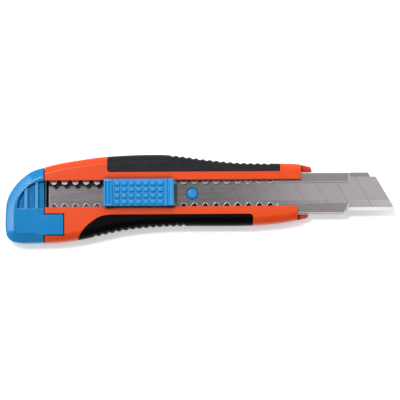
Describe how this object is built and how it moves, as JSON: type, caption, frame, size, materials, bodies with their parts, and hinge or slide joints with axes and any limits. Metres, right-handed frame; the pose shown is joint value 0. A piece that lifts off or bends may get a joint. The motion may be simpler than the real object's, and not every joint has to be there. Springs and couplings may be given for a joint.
{
  "type": "utility knife",
  "caption": "Snap-off utility knife with a moulded handle, ribbed rubber grips, a toothed steel guide rail, a locking thumb slider and a pull-off end cap.",
  "frame": {"origin": "in the flat back face, on the blade's centre line, 80 mm ahead of the rear end", "axes": "+X towards the blade's tip, +Y across the handle towards the upper grip, +Z out of the front face with the thumb slider"},
  "size_m": [0.1953, 0.0442, 0.0168],
  "materials": {
    "handle_plastic": "satin orange ABS with a fine mould texture",
    "grip_rubber": "matt black soft-touch rubber",
    "blue_plastic": "satin blue plastic",
    "rail_steel": "rolled stainless sheet, bright sheared edges",
    "blade_steel": "fine ground carbon steel with scored lines and a polished edge",
    "spring_steel": "dark spring steel"
  },
  "bodies": {
    "handle": {"handle_body": "handle_plastic", "upper_grip": "grip_rubber", "lower_grip": "grip_rubber", "guide_rail": "rail_steel"},
    "cap": {"end_cap": "blue_plastic"},
    "slider": {"slider_carrier": "blue_plastic", "blade": "blade_steel", "return_spring": "spring_steel"},
    "thumb": {"thumb_button": "blue_plastic", "lock_plate": "spring_steel"}
  },
  "joints": [
    {"name": "blade_slide", "type": "slide", "parent": "handle", "child": "slider", "axis": [1, 0, 0], "range_m": [-0.02712, 0.03798]},
    {"name": "thumb_press", "type": "slide", "parent": "slider", "child": "thumb", "axis": [0, 0, -1], "range_m": [0, 0.0011], "stiffness_N_per_m": 1500, "deforming": ["return_spring"]},
    {"name": "cap_pull", "type": "slide", "parent": "handle", "child": "cap", "axis": [-1, 0, 0], "range_m": [0, 0.04]}
  ]
}
